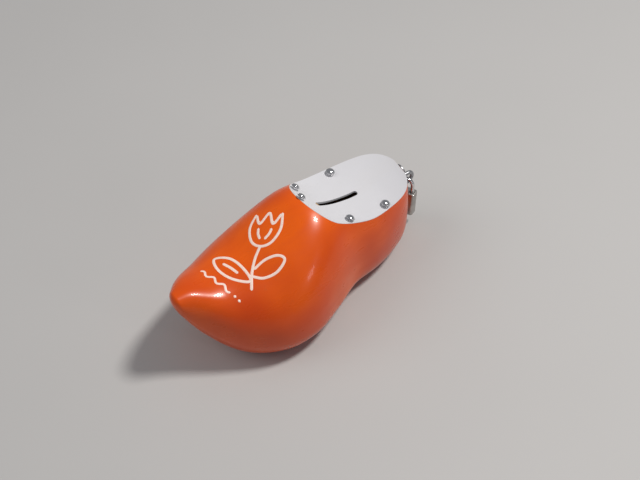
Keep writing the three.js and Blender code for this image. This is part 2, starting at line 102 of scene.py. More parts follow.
class Shader:
    def __init__(self, name, constants):
        self.material = bpy.data.materials.new(name)
        self.material.use_nodes = True
        self.tree = self.material.node_tree
        self.surface = self.tree.nodes["Principled BSDF"]
        for key, value in constants.items():
            self.surface.inputs[key].default_value = value
        self.spot = self.add("ShaderNodeTexCoord", output="Object")

    def add(self, kind, settings=None, inputs=None, output=0):
        node = self.tree.nodes.new(kind)
        for key, value in (settings or {}).items():
            setattr(node, key, value)
        pairs = inputs.items() if isinstance(inputs, dict) else enumerate(inputs or [])
        for key, value in pairs:
            self.join(node.inputs[key], value)
        return Wire(self, node.outputs[output])

    def join(self, socket, value):
        if isinstance(value, Wire):
            self.tree.links.new(value.socket, socket)
        else:
            socket.default_value = value

    def set(self, name, value):
        self.join(self.surface.inputs[name], value)

    def number(self, operation, first, second):
        return self.add("ShaderNodeMath", {"operation": operation}, [first, second])

    def stretched(self, scale, turn=(0, 0, 0)):
        return self.add("ShaderNodeMapping", None, {"Vector": self.spot, "Scale": scale, "Rotation": turn})

    def noise(self, scale, detail=3, vector=None, distortion=0):
        inputs = {"Vector": vector or self.spot, "Scale": scale, "Detail": detail, "Distortion": distortion}
        return self.add("ShaderNodeTexNoise", None, inputs)

    def limits(self, value, low, high, toLow=0.0, toHigh=1.0):
        return self.add("ShaderNodeMapRange", None, [value, low, high, toLow, toHigh])

    def blend(self, factor, first, second):
        node = self.tree.nodes.new("ShaderNodeMix")
        node.data_type = "RGBA"
        self.join(node.inputs[0], factor)
        self.join(node.inputs[6], first if isinstance(first, Wire) else (*first, 1))
        self.join(node.inputs[7], second if isinstance(second, Wire) else (*second, 1))
        return Wire(self, node.outputs[2])

    def bump(self, height, depth, strength=1.0, under=None):
        inputs = {"Height": height, "Distance": depth, "Strength": strength}
        if under:
            inputs["Normal"] = under
        return self.add("ShaderNodeBump", None, inputs)


print("stage: materials")

orangePaint = {
    "colour": (0.78, 0.108, 0.001),
    "deep": (0.6, 0.058, 0.001),
    "dust": (0.42, 0.1, 0.02),
    "roughness": (0.24, 0.4),
    "coat": 0.2,
    "waveSize": 22,  # noise scale, per metre
    "waveDepth": 0.0016,
    "peelSize": 650,
    "peelDepth": 0.00003,
}


def makeOrangePaint():
    constants = {"Coat Weight": orangePaint["coat"], "Coat Roughness": 0.06, "Specular IOR Level": 0.35}
    shader = Shader("orangePaint", constants)
    broad = shader.noise(14, 2)
    strokes = shader.noise(60, 4, shader.stretched((1.6, 0.35, 1.6)))
    colour = shader.blend(shader.limits(broad, 0.35, 0.7), orangePaint["colour"], orangePaint["deep"])
    colour = shader.blend(shader.limits(strokes, 0.45, 0.75, 0, 0.35), colour, orangePaint["deep"])
    scuffs = shader.limits(shader.noise(240, 6, distortion=1.5), 0.66, 0.74, 0, 0.35)
    shader.set("Base Color", shader.blend(scuffs, colour, orangePaint["dust"]))
    low, high = orangePaint["roughness"]
    shader.set("Roughness", shader.limits(strokes, 0.3, 0.75, low, high) + scuffs * 0.3)
    waves = shader.bump(shader.noise(orangePaint["waveSize"], 1), orangePaint["waveDepth"], 0.35)
    brushed = shader.bump(strokes, 0.00012, 0.4, waves)
    peel = shader.noise(orangePaint["peelSize"], 2)
    shader.set("Normal", shader.bump(peel, orangePaint["peelDepth"], 0.5, brushed))
    return shader.material


bareWood = {"early": (0.56, 0.38, 0.2), "late": (0.33, 0.19, 0.085), "rings": 70}


def makeBareWood():
    shader = Shader("bareWood", {"Roughness": 0.75})
    warped = shader.noise(9, 3, shader.stretched((1, 0.2, 1)))
    rings = shader.add(
        "ShaderNodeTexWave",
        {"wave_type": "RINGS", "rings_direction": "Y"},
        {"Vector": shader.stretched((1, 0.15, 1)), "Scale": bareWood["rings"], "Distortion": 3, "Detail": 2},
        "Fac",
    )
    fibre = shader.noise(900, 3, shader.stretched((1, 0.03, 1)))
    colour = shader.blend(rings * 0.6 + warped * 0.3, bareWood["early"], bareWood["late"])
    shader.set("Base Color", shader.blend(shader.limits(fibre, 0.4, 0.8, 0, 0.5), colour, bareWood["late"]))
    shader.set("Normal", shader.bump(fibre + rings * 0.4, 0.00025, 0.6))
    return shader.material


whiteSheet = {
    "colour": (0.74, 0.74, 0.77),
    # painted shade: the grey the sheet turns towards the heel
    "paintedHeelShade": (0.5, 0.5, 0.53),
    "grime": (0.55, 0.53, 0.5),
    "roughness": (0.3, 0.46),
}


def makeWhiteSheet():
    shader = Shader("whiteSheet", {"Coat Weight": 0.15, "Coat Roughness": 0.25})
    cloud = shader.noise(26, 4)
    specks = shader.limits(shader.noise(700, 4), 0.67, 0.74, 0, 0.5)
    rubbed = shader.noise(45, 5, shader.stretched((1, 0.3, 1)), 0.6)
    dirt = shader.limits(rubbed, 0.52, 0.8, 0, 0.16) + specks
    along = shader.add("ShaderNodeSeparateXYZ", None, [shader.spot], "Y")
    # painted shade: the sheet is blended to grey towards the heel, where it bends up away from the light
    heelward = shader.limits(along + cloud * 0.06, 0.02, 0.17)
    sheet = shader.blend(heelward, whiteSheet["colour"], whiteSheet["paintedHeelShade"])
    shader.set("Base Color", shader.blend(dirt, sheet, whiteSheet["grime"]))
    low, high = whiteSheet["roughness"]
    shader.set("Roughness", shader.limits(cloud, 0.3, 0.7, low, high))
    sheetWaves = shader.bump(shader.noise(18, 1), 0.0008, 0.15)
    shader.set("Normal", shader.bump(shader.noise(1100, 2), 0.00002, 0.5, sheetWaves))
    return shader.material


def makeMetal(name, bright, dull, roughness, size, stretch=(1, 1, 1), depth=0.00002, tarnish=0.2):
    shader = Shader(name, {"Metallic": 1.0})
    grain = shader.noise(size, 5, shader.stretched(stretch))
    patches = shader.noise(180, 4)
    clean = shader.limits(grain, 0.3, 0.75) * (1 - tarnish)
    shade = clean + shader.limits(patches, 0.45, 0.8) * tarnish
    shader.set("Base Color", shader.blend(shade, bright, dull))
    shader.set("Roughness", shader.limits(grain * 0.6 + patches * 0.4, 0.3, 0.7, *roughness))
    shader.set("Normal", shader.bump(grain, depth, 0.5))
    return shader.material


def makeZincPlate():
    shader = Shader("zincPlate", {"Metallic": 1.0})
    spangle = shader.add("ShaderNodeTexVoronoi", None, {"Vector": shader.spot, "Scale": 420}, "Color")
    flakes = shader.add("ShaderNodeSeparateColor", None, [spangle])
    rust = shader.limits(shader.noise(160, 6, distortion=1), 0.6, 0.75, 0, 0.6)
    base = shader.blend(flakes, (0.47, 0.48, 0.5), (0.33, 0.34, 0.36))
    shader.set("Base Color", shader.blend(rust, base, (0.2, 0.13, 0.08)))
    shader.set("Roughness", shader.limits(flakes, 0, 1, 0.3, 0.5) + rust * 0.25)
    shader.set("Normal", shader.bump(shader.noise(900, 4), 0.00003, 0.4))
    return shader.material


def makeMotifPaint():
    shader = Shader("motifPaint", {"Coat Weight": 0.3, "Coat Roughness": 0.15})
    thin = shader.limits(shader.noise(420, 4), 0.5, 0.8, 0, 0.45)
    shader.set("Base Color", shader.blend(thin, (0.9, 0.72, 0.64), (0.84, 0.42, 0.28)))
    shader.set("Roughness", shader.limits(shader.noise(300, 3), 0.3, 0.7, 0.3, 0.45))
    shader.set("Normal", shader.bump(shader.noise(1500, 3), 0.00003, 0.5))
    return shader.material


materials = {
    "orangePaint": makeOrangePaint(),
    "bareWood": makeBareWood(),
    "whiteSheet": makeWhiteSheet(),
    "motifPaint": makeMotifPaint(),
    "zincPlate": makeZincPlate(),
    "chrome": makeMetal("chrome", (0.82, 0.82, 0.83), (0.62, 0.62, 0.63), (0.06, 0.2), 500),
    "lockSteel": makeMetal(
        "lockSteel", (0.62, 0.6, 0.57), (0.2, 0.19, 0.18), (0.2, 0.5), 420, (1, 1, 0.06), 0.00004, 0.35
    ),
    "brass": makeMetal("brass", (0.7, 0.5, 0.2), (0.45, 0.3, 0.11), (0.2, 0.42), 600, (1, 1, 0.2)),
    "springSteel": makeMetal("springSteel", (0.42, 0.42, 0.44), (0.25, 0.25, 0.27), (0.25, 0.45), 900),
}

print("stage: mesh tools")


def toMesh(name, bm):
    mesh = bpy.data.meshes.new(name)
    bm.to_mesh(mesh)
    bm.free()
    return mesh


def closeUp(bm, distance=0.01 * mm):
    bmesh.ops.remove_doubles(bm, verts=bm.verts, dist=distance)
    bmesh.ops.recalc_face_normals(bm, faces=bm.faces)


def solidPiece(name, bm, material):
    piece = bpy.data.objects.new(name, toMesh(name, bm))
    piece.data.materials.append(materials[material])
    bpy.context.collection.objects.link(piece)
    return piece


def smoothShaded(piece, angle=35):
    piece.data.polygons.foreach_set("use_smooth", [True] * len(piece.data.polygons))
    piece.data.set_sharp_from_angle(angle=math.radians(angle))
    piece.data.update()


def withCuts(piece, cutters, operation="DIFFERENCE"):
    # applies the cuts, so that nothing but a plain mesh is left
    for cutter in cutters:
        change = piece.modifiers.new("cut", "BOOLEAN")
        change.operation = operation
        change.solver = "EXACT"
        change.material_mode = "TRANSFER"
        change.object = cutter
    graph = bpy.context.evaluated_depsgraph_get()
    mesh = bpy.data.meshes.new_from_object(piece.evaluated_get(graph))
    piece.modifiers.clear()
    piece.data = mesh
    for cutter in cutters:
        bpy.data.objects.remove(cutter)
    return piece


def finished(piece, body, nodes=(), angle=35):
    smoothShaded(piece, angle)
    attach(piece, body)
    if nodes:
        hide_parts(*nodes)
    return piece


def cubeMesh(low, high):
    bm = bmesh.new()
    bmesh.ops.create_cube(bm, size=1)
    size = high - low
    bmesh.ops.scale(bm, verts=bm.verts, vec=size)
    bmesh.ops.translate(bm, verts=bm.verts, vec=(low + high) / 2)
    return bm


def rodMesh(radius, start, end, sides=32):
    bm = bmesh.new()
    length = (end - start).length
    bmesh.ops.create_cone(bm, cap_ends=True, segments=sides, radius1=radius, radius2=radius, depth=length)
    turn = (end - start).to_track_quat("Z", "Y").to_matrix().to_4x4()
    bm.transform(Matrix.Translation((start + end) / 2) @ turn)
    return bm


def rollRims(bm, width, segments, sharper=40):
    sharp = [edge for edge in bm.edges if edge.calc_face_angle(0) > math.radians(sharper)]
    bmesh.ops.bevel(
        bm, geom=sharp, offset=width, segments=segments, affect="EDGES", profile=0.5, material=-1,
        clamp_overlap=True,
    )


print("stage: clog body")

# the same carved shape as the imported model's, in mm: widths and heights are shares of width and height
clog = {
    "length": 262,
    "width": 120.95,
    "height": 113,
    "sections": {
        "at": (0, 0.06, 0.16, 0.28, 0.4, 0.52, 0.64, 0.76, 0.88, 1),
        "near": (0.05, 0.16, 0.365, 0.55, 0.585, 0.505, 0.405, 0.37, 0.32, 0.3),
        "far": (0.05, 0.21, 0.355, 0.415, 0.415, 0.4, 0.385, 0.39, 0.36, 0.345),
        "ridge": (0.075, 0.06, 0.04, 0.01, 0, 0, 0, 0, 0, 0),
        "top": (0.8, 0.8, 0.745, 0.78, 0.9, 1, 0.96, 0.91, 0.9, 0.9),
        "bottom": (0.69, 0.38, 0.07, -0.015, -0.015, -0.005, 0.025, -0.015, -0.015, -0.015),
        "widest": (0.745, 0.52, 0.33, 0.285, 0.28, 0.28, 0.285, 0.305, 0.32, 0.33),
    },
    "rim": {
        "at": (0.4, 0.5, 0.6, 0.72, 0.86, 1, 1.12),
        "height": (1.14, 1.045, 0.86, 0.765, 0.745, 0.7, 0.64),
        "lean": (0, 0, 0.03, 0.13, 0.24, 0.34, 0.42),
    },
    "upperFullness": 2.3,
    "lowerFullness": 2.7,
    "toeNose": 0.015,
    "heelRound": 0.2,
    "heelPlanFullness": 2.2,
    "heelSideFullness": 5,
    "slices": 200,
    "stacks": 150,
}
hollow = {
    "from": 0.2,
    "heelWall": 14,
    "side": 11,
    "roof": 13,
    "floor": 16,
    "nose": 0.3,
    "slices": 72,
    "stacks": 64,
}
heelFlat = {"depth": 2.5, "halfWidth": 9, "below": 24}


def readTable(table, column, at):
    # a smooth curve through a column, flat in curvature at its ends
    places = table["at"]
    values = table[column]
    last = len(places) - 1
    at = min(max(at, places[0]), places[last])
    right = next((i for i in range(1, last) if at < places[i]), last)
    left = right - 1
    before = left - 1 if left > 0 else right
    after = right + 1 if right < last else left
    half = (places[right] - places[left]) / 2
    pull = half / (places[left] - places[before])
    push = half / (places[after] - places[right])
    if left == 0:
        pull = half / (places[left] - places[right])
    if right == last:
        push = half / (places[left] - places[right])
    p = (at - places[left]) / (places[right] - places[left])
    square = p * p
    cube = square * p
    return (
        values[before] * (-pull * cube + 2 * pull * square - pull * p)
        + values[left] * ((1 + pull) * cube + (-1.5 - 2 * pull) * square + (pull - 0.5) * p + 1)
        + values[right] * ((-1 - push) * cube + (1.5 + push) * square + 0.5 * p)
        + values[after] * (push * cube - push * square)
    )


def roundEnd(share, fullness):
    if share > 1 - 1e-9:
        return 0.0
    return (1 - max(share, 0) ** fullness) ** (1 / fullness)


def powerOf(value, fullness):
    return math.copysign(abs(value) ** (2 / fullness), value)


def sectionPoint(at, angle, start=0.0, end=1.0, nose=None, side=0.0, roof=0.0, floor=0.0):
    table = clog["sections"]
    near, far, ridge, top, bottom, widest = (
        readTable(table, column, at) for column in ("near", "far", "ridge", "top", "bottom", "widest")
    )
    heelShare = (at - end + clog["heelRound"]) / clog["heelRound"]
    noseRound = roundEnd(1 - (at - start) / (nose or clog["toeNose"]), 2)
    narrowing = roundEnd(heelShare, clog["heelPlanFullness"]) * noseRound
    lowering = roundEnd(heelShare, clog["heelSideFullness"]) * noseRound
    across = math.cos(angle)
    up = math.sin(angle)
    fullness = clog["upperFullness"] if up > 0 else clog["lowerFullness"]
    halfWidth = (near if across > 0 else far) * clog["width"] - side
    middle = widest * clog["height"]
    rise = top * clog["height"] - roof - middle if up > 0 else middle - bottom * clog["height"] - floor
    return (
        ridge * clog["width"] + halfWidth * narrowing * powerOf(across, fullness),
        at * clog["length"],
        middle + rise * lowering * powerOf(up, fullness),
    )


def carvedMesh(slices, stacks, start=0.0, end=1.0, **walls):
    bm = bmesh.new()
    bmesh.ops.create_grid(bm, x_segments=stacks, y_segments=slices, size=0.5)
    for vert in bm.verts:
        at = start + (end - start) * (1 - math.cos(math.pi * (vert.co.y + 0.5))) / 2
        vert.co = place(*sectionPoint(at, 2 * math.pi * (vert.co.x + 0.5), start, end, **walls))
    closeUp(bm)
    return bm


def rimHeight(x, y):
    at = y / clog["length"]
    return readTable(clog["rim"], "height", at) * clog["height"] - readTable(clog["rim"], "lean", at) * x


def aboveRimMesh():
    bm = bmesh.new()
    bmesh.ops.create_grid(bm, x_segments=40, y_segments=90, size=0.5)
    for vert in bm.verts:
        x = vert.co.x * 2.4 * clog["width"]
        y = (0.76 + 0.7 * vert.co.y) * clog["length"]
        vert.co = place(x, y, rimHeight(x, y))
    top = bmesh.ops.extrude_face_region(bm, geom=bm.faces[:])
    for vert in [item for item in top["geom"] if isinstance(item, bmesh.types.BMVert)]:
        vert.co.z = 3 * clog["height"] * mm
    closeUp(bm)
    return bm


flatY = clog["length"] - heelFlat["depth"]


def makeClogBody():
    body = solidPiece("clogWood", carvedMesh(clog["slices"], clog["stacks"]), "orangePaint")
    hollowEnd = 1 - hollow["heelWall"] / clog["length"]
    walls = {key: hollow[key] for key in ("nose", "side", "roof", "floor")}
    inside = carvedMesh(hollow["slices"], hollow["stacks"], hollow["from"], hollowEnd, **walls)
    wide = 2 * clog["width"]
    ground = cubeMesh(place(-wide, -wide, -wide), place(wide, 2 * clog["length"], 0))
    behind = cubeMesh(
        place(-heelFlat["halfWidth"], flatY, strapMiddle / mm - heelFlat["below"]),
        place(heelFlat["halfWidth"], 2 * clog["length"], 2 * clog["height"]),
    )
    return withCuts(body, [
        solidPiece("hollowCutter", inside, "bareWood"),
        solidPiece("rimCutter", aboveRimMesh(), "bareWood"),
        solidPiece("groundCutter", ground, "bareWood"),
        solidPiece("flatCutter", behind, "orangePaint"),
    ])


clogWood = finished(makeClogBody(), "clog", ["clog_body"], 40)
print("clog body:", len(clogWood.data.polygons), "faces")

print("stage: lid")

lid = {
    "gap": 0.3,
    "thickness": 2,
    "overhang": 0.8,
    "rows": 120,
    "columns": 48,
    "slot": {"length": 48, "width": 5, "at": 0.68, "aside": 5, "cutFrom": 60},
}


def aboveLid(at, angle):
    # how far a point of the outside stands above the middle of the sheet
    grow = -lid["overhang"]
    x, y, z = sectionPoint(at, angle, side=grow, roof=grow, floor=grow)
    return z - rimHeight(x, y) - lid["gap"] - lid["thickness"] / 2, x


def crossing(low, high, test):
    # where test turns from above to below zero between two values
    for _ in range(40):
        middle = (low + high) / 2
        if test(middle) > 0:
            low = middle
        else:
            high = middle
    return (low + high) / 2


def lidEdges(at):
    nearAngle = crossing(math.pi / 2, 0, lambda angle: aboveLid(at, angle)[0])
    farAngle = crossing(math.pi / 2, math.pi, lambda angle: aboveLid(at, angle)[0])
    return aboveLid(at, nearAngle)[1], aboveLid(at, farAngle)[1]


def lidMesh():
    front = crossing(0.62, 0.4, lambda at: aboveLid(at, math.pi / 2)[0])
    rear = crossing(0.9, 1, lambda at: aboveLid(at, math.pi / 2)[0])
    rows, columns = lid["rows"], lid["columns"]
    edges = {}
    for row in range(rows + 1):
        at = front + (rear - front) * (1 - math.cos(math.pi * row / rows)) / 2
        edges[row] = (at * clog["length"], *lidEdges(at))
    bm = bmesh.new()
    bmesh.ops.create_grid(bm, x_segments=columns, y_segments=rows, size=0.5)
    for vert in bm.verts:
        y, near, far = edges[round((vert.co.y + 0.5) * rows)]
        x = far + (near - far) * (vert.co.x + 0.5)
        vert.co = place(x, y, rimHeight(x, y) + lid["gap"])
    bmesh.ops.remove_doubles(bm, verts=bm.verts, dist=0.02 * mm)
    bmesh.ops.recalc_face_normals(bm, faces=bm.faces)
    if sum(face.normal.z for face in bm.faces) > 0:
        bmesh.ops.reverse_faces(bm, faces=bm.faces)
    bmesh.ops.solidify(bm, geom=bm.faces[:], thickness=-lid["thickness"] * mm)
    bmesh.ops.recalc_face_normals(bm, faces=bm.faces)
    return bm


def slotMesh():
    slot = lid["slot"]
    half = (slot["length"] - slot["width"]) / 2
    bm = bmesh.new()
    bmesh.ops.create_circle(bm, cap_ends=True, segments=48, radius=slot["width"] / 2)
    for vert in bm.verts:
        vert.co.y += math.copysign(half, vert.co.y)
        vert.co = place(slot["aside"] + vert.co.x, slot["at"] * clog["length"] + vert.co.y, slot["cutFrom"])
    top = bmesh.ops.extrude_face_region(bm, geom=bm.faces[:])
    rising = [item for item in top["geom"] if isinstance(item, bmesh.types.BMVert)]
    bmesh.ops.translate(bm, verts=rising, vec=(0, 0, clog["height"] * mm))
    bmesh.ops.recalc_face_normals(bm, faces=bm.faces)
    return bm


lidSheet = solidPiece("lidSheet", lidMesh(), "whiteSheet")
strapNotch = cubeMesh(
    place(-heelFlat["halfWidth"], flatY - lid["gap"], 40),
    place(heelFlat["halfWidth"], 2 * clog["length"], 2 * clog["height"]),
)
withCuts(lidSheet, [
    solidPiece("slotCutter", slotMesh(), "whiteSheet"),
    solidPiece("notchCutter", strapNotch, "whiteSheet"),
])
finished(lidSheet, "clog", ["lid_plate"], 40)

print("stage: screws")

domeScrew = {
    "headRadius": 4.25,
    "headHeight": 2.5,
    "lip": 0.35,
    "shankRadius": 1.75,
    "length": 14,
    "point": 3,
    "seat": 0.3,
    "domeSteps": 10,
    "sides": 40,
}
lidScrews = {
    "front_near": (0.533, 0.008),
    "front_far": (0.56, -0.14),
    "middle_near": (0.652, 0.256),
    "middle_far": (0.744, -0.211),
    "rear_near": (0.82, 0.244),
}


def domeScrewMesh(matrix):
    lip = domeScrew["lip"]
    radius = domeScrew["headRadius"]
    outline = [
        (0, -domeScrew["length"]),
        (domeScrew["shankRadius"], domeScrew["point"] - domeScrew["length"]),
        (domeScrew["shankRadius"], 0),
        (radius - lip / 2, 0),
        (radius, lip / 2),
        (radius - lip / 4, lip),
        (radius - lip, lip),
    ]
    dome = domeScrew["headHeight"] - lip
    for step in range(1, domeScrew["domeSteps"] + 1):
        turn = step / domeScrew["domeSteps"] * math.pi / 2
        outline.append(((radius - lip) * math.cos(turn), lip + dome * math.sin(turn)))
    bm = bmesh.new()
    verts = [bm.verts.new((x * mm, 0, (z + domeScrew["seat"]) * mm)) for x, z in outline]
    edges = [bm.edges.new(pair) for pair in zip(verts, verts[1:])]
    bmesh.ops.spin(
        bm, geom=verts + edges, cent=(0, 0, 0), axis=(0, 0, 1), angle=2 * math.pi,
        steps=domeScrew["sides"], use_merge=True,
    )
    closeUp(bm, 0.005 * mm)
    bm.transform(matrix)
    return bm


def lidSpot(at, aside):
    x = aside * clog["width"]
    y = at * clog["length"]
    slopeX = (rimHeight(x + 1, y) - rimHeight(x - 1, y)) / 2
    slopeY = (rimHeight(x, y + 1) - rimHeight(x, y - 1)) / 2
    normal = Vector((-slopeX, -slopeY, 1)).normalized()
    foot = place(x, y, rimHeight(x, y)) + normal * (lid["gap"] + lid["thickness"]) * mm
    turn = Vector((0, 0, 1)).rotation_difference(normal).to_matrix().to_4x4()
    return Matrix.Translation(foot) @ turn


for name, spot in lidScrews.items():
    screw = solidPiece(f"lidScrew_{name}", domeScrewMesh(lidSpot(*spot)), "chrome")
    finished(screw, "clog", [f"lid_screw_{name}"], 50)

for name in ("upper", "lower"):
    low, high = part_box(f"strap_screw_{name}")
    seat = Vector(((low.x + high.x) / 2, strapHigh.y, (low.z + high.z) / 2))
    matrix = Matrix.Translation(seat) @ Matrix.Rotation(-math.pi / 2, 4, "X")
    screw = solidPiece(f"strapScrew_{name}", domeScrewMesh(matrix), "chrome")
    finished(screw, "clog", [f"strap_screw_{name}"], 50)

print("stage: strap and staple")

staple = {"rodRadius": 2, "bend": 6, "reach": 9.85, "buried": 8.85, "sides": 28, "bowSteps": 32}
strapEdge = 0.4


def strapMesh():
    half = (strapHigh.x - strapLow.x) / 2
    straight = (strapHigh.z - strapLow.z) / 2 - half
    bm = bmesh.new()
    bmesh.ops.create_circle(bm, cap_ends=True, segments=64, radius=half)
    for vert in bm.verts:
        vert.co.y += math.copysign(straight, vert.co.y)
    back = bmesh.ops.extrude_face_region(bm, geom=bm.faces[:])
    moved = [item for item in back["geom"] if isinstance(item, bmesh.types.BMVert)]
    bmesh.ops.translate(bm, verts=moved, vec=(0, 0, strapHigh.y - strapLow.y))
    bmesh.ops.recalc_face_normals(bm, faces=bm.faces)
    rollRims(bm, strapEdge * mm, 3, 60)
    standing = Matrix.Rotation(math.pi / 2, 4, "X")
    bm.transform(Matrix.Translation((ridgeX, strapHigh.y, strapMiddle)) @ standing)
    return bm


def hairpinMesh(rodRadius, bend, firstLeg, secondLeg, sides, steps, tip=0.3):
    # up the leg at -bend, round the bow, down the leg at +bend; the bow's ends are at z = 0
    bm = bmesh.new()
    bmesh.ops.create_circle(bm, cap_ends=False, segments=sides, radius=rodRadius * mm)
    bmesh.ops.translate(bm, verts=bm.verts, vec=(-bend * mm, 0, -firstLeg * mm))
    rim = bm.edges[:]

    def onward(edges, distance):
        made = bmesh.ops.extrude_edge_only(bm, edges=edges)["geom"]
        verts = [item for item in made if isinstance(item, bmesh.types.BMVert)]
        bmesh.ops.translate(bm, verts=verts, vec=(0, 0, distance * mm))
        return [item for item in made if isinstance(item, bmesh.types.BMEdge)]

    rim = onward(rim, firstLeg)
    turned = bmesh.ops.spin(bm, geom=rim, cent=(0, 0, 0), axis=(0, 1, 0), angle=math.pi, steps=steps)
    rim = [item for item in turned["geom_last"] if isinstance(item, bmesh.types.BMEdge)]
    onward(rim, -secondLeg)
    bmesh.ops.holes_fill(bm, edges=bm.edges, sides=sides + 1)
    closeUp(bm)
    rollRims(bm, tip * mm, 3, 60)
    return bm


finished(solidPiece("stapleStrap", strapMesh(), "zincPlate"), "clog", ["staple_strap"], 40)

stapleLeg = staple["buried"] + staple["reach"]
stapleBow = hairpinMesh(
    staple["rodRadius"], staple["bend"], stapleLeg, stapleLeg, staple["sides"], staple["bowSteps"]
)
outward = Matrix(((0, 1, 0, 0), (0, 0, 1, 0), (1, 0, 0, 0), (0, 0, 0, 1)))
stapleFoot = Vector((ridgeX, strapHigh.y + staple["reach"] * mm, strapMiddle))
stapleBow.transform(Matrix.Translation(stapleFoot) @ outward)
finished(solidPiece("stapleBow", stapleBow, "zincPlate"), "clog", ["staple_bow"], 50)

print("stage: padlock")

padlock = {
    "width": 22,
    "thickness": 10,
    "height": 28,
    "corner": 2.5,
    "rolledEdge": 0.8,
    "twist": 21,
    "rodRadius": 2,
    "legX": 7,
    "straight": 8,
    "longLeg": 22,
    "shortLeg": 12,
    "holeGap": 0.3,
    "plugRadius": 3.75,
    "plugTop": -7.5,
    "sides": 32,
    "bowSteps": 40,
}
lockMiddle = (caseLow + caseHigh) / 2
lockPlace = Matrix.Translation((lockMiddle.x, lockMiddle.y, caseHigh.z))
lockPlace = lockPlace @ Matrix.Rotation(math.radians(padlock["twist"]), 4, "Z")


def inLock(x, y, z):
    return Vector((x, y, z)) * mm


def caseMesh():
    half = Vector((padlock["width"] / 2, padlock["thickness"] / 2, 0))
    bm = cubeMesh(inLock(-half.x, -half.y, -padlock["height"]), inLock(half.x, half.y, 0))
    upright = [edge for edge in bm.edges if abs(edge.verts[0].co.z - edge.verts[1].co.z) > mm]
    bmesh.ops.bevel(
        bm, geom=upright, offset=padlock["corner"] * mm, segments=8, affect="EDGES", profile=0.5, material=-1
    )
    rollRims(bm, padlock["rolledEdge"] * mm, 4, 60)
    return bm


def makeCase():
    case = solidPiece("lockCase", caseMesh(), "lockSteel")
    hole = padlock["rodRadius"] + padlock["holeGap"]
    legX = padlock["legX"]
    bores = [
        rodMesh(hole * mm, inLock(-legX, 0, -padlock["longLeg"] - 3), inLock(-legX, 0, 1)),
        rodMesh(hole * mm, inLock(legX, 0, -padlock["shortLeg"] - 1), inLock(legX, 0, 1)),
        rodMesh(
            padlock["plugRadius"] * mm,
            inLock(0, 0, -padlock["height"] - 1),
            inLock(0, 0, padlock["plugTop"]),
            48,
        ),
    ]
    withCuts(case, [solidPiece(f"bore{i}", bore, "lockSteel") for i, bore in enumerate(bores)])
    case.data.transform(lockPlace)
    return case


finished(makeCase(), "lock_case", ["padlock_case"], 40)

shackleNotch = {
    "bottom": -11.1,
    "top": -4.9,
    "reach": 6.3,
    "grooveBottom": -20.3,
    "grooveTop": -12.7,
    "neck": 1.2,
}


def makeShackle():
    bow = hairpinMesh(
        padlock["rodRadius"],
        padlock["legX"],
        padlock["straight"] + padlock["longLeg"],
        padlock["straight"] + padlock["shortLeg"],
        padlock["sides"],
        padlock["bowSteps"],
    )
    bmesh.ops.translate(bow, verts=bow.verts, vec=(0, 0, padlock["straight"] * mm))
    piece = solidPiece("lockShackle", bow, "chrome")
    thick = padlock["thickness"]
    notch = cubeMesh(
        inLock(0, -thick, shackleNotch["bottom"]), inLock(shackleNotch["reach"], thick, shackleNotch["top"])
    )
    legX = padlock["legX"]
    groove = cubeMesh(
        inLock(-legX + shackleNotch["neck"], -thick, shackleNotch["grooveBottom"]),
        inLock(0, thick, shackleNotch["grooveTop"]),
    )
    withCuts(piece, [
        solidPiece("notchCutter", notch, "chrome"),
        solidPiece("grooveCutter", groove, "chrome"),
    ])
    piece.data.transform(lockPlace)
    return piece


finished(makeShackle(), "shackle", ["padlock_shackle"], 40)

print("stage: carried-over parts")

for name, node in frame["nodes"].items():
    if node.hide_render:
        continue
    isBrass = name.startswith(("padlock_plug", "padlock_latch", "key_pin", "driver_pin"))
    finish = "brass" if isBrass else "springSteel"
    for materialSlot in node.material_slots:
        materialSlot.material = materials[finish]

print("stage: painted motif")

# a line-drawn tulip with a wavy line under it, in mm, from the middle of the flower
motif = {
    "middle": (0.9, 101.5),  # across and along the clog
    "turn": 36.9,  # degrees, the drawing's upright
    "lineWidth": 2.4,
    "thickness": 0.2,
    "sink": 0.12,
    "step": 0.8,
    "columns": 6,
}
tulipLines = {
    "cup": [(-12, 14), (-14, 0), (-9, -12), (0, -16), (9, -12), (14, 0), (12, 14)],
    "crown": [(-11.5, 13), (-6, 4), (0, 14), (6, 4), (11.5, 13)],
    "petalLeft": [(-6, 0), (-5, -5), (-2, -10)],
    "petalRight": [(6, 0), (5, -5), (2, -10)],
    "stem": [(0, -16), (-1.5, -27), (-0.5, -40), (3, -53)],
    "leafLeft": [(0, -46), (-10, -36), (-24, -29), (-37, -31), (-30, -42), (-16, -48), (0, -46)],
    "leafRight": [(0, -36), (7, -27), (17, -22), (24, -24), (20, -34), (10, -41), (0, -42)],
    "veinLeft": [(-12, -42), (-20, -38), (-28, -35)],
}
wave = {
    "from": (-44, -47),
    "to": (-13, -60),
    "height": 1.6,
    "turns": 3,
    "lineWidth": 2,
    "dots": 2,
    "dotGap": 4.5,
    "dotWidth": 2.2,
}


def catmull(points, closed=False):
    # a smooth line through the points, at even steps
    ring = [Vector(point) for point in points]
    before = ring[-2] if closed else 2 * ring[0] - ring[1]
    after = ring[1] if closed else 2 * ring[-1] - ring[-2]
    line = [before, *ring, after]
    smooth = []
    for a, b, c, d in zip(line, line[1:], line[2:], line[3:]):
        steps = max(2, round((c - b).length / motif["step"]))
        for i in range(steps):
            t = i / steps
            smooth.append(0.5 * (
                2 * b + (c - a) * t + (2 * a - 5 * b + 4 * c - d) * t ** 2 + (3 * b - a - 3 * c + d) * t ** 3
            ))
    return smooth + [ring[-1]]


surface = BVHTree.FromObject(clogWood, bpy.context.evaluated_depsgraph_get())


def onClog(a, b):
    turn = math.radians(motif["turn"])
    x = motif["middle"][0] + a * math.cos(turn) - b * math.sin(turn)
    y = motif["middle"][1] + a * math.sin(turn) + b * math.cos(turn)
    start = place(x, y, 2 * clog["height"])
    hit, normal, _, _ = surface.ray_cast(start, Vector((0, 0, -1)))
    return hit, normal


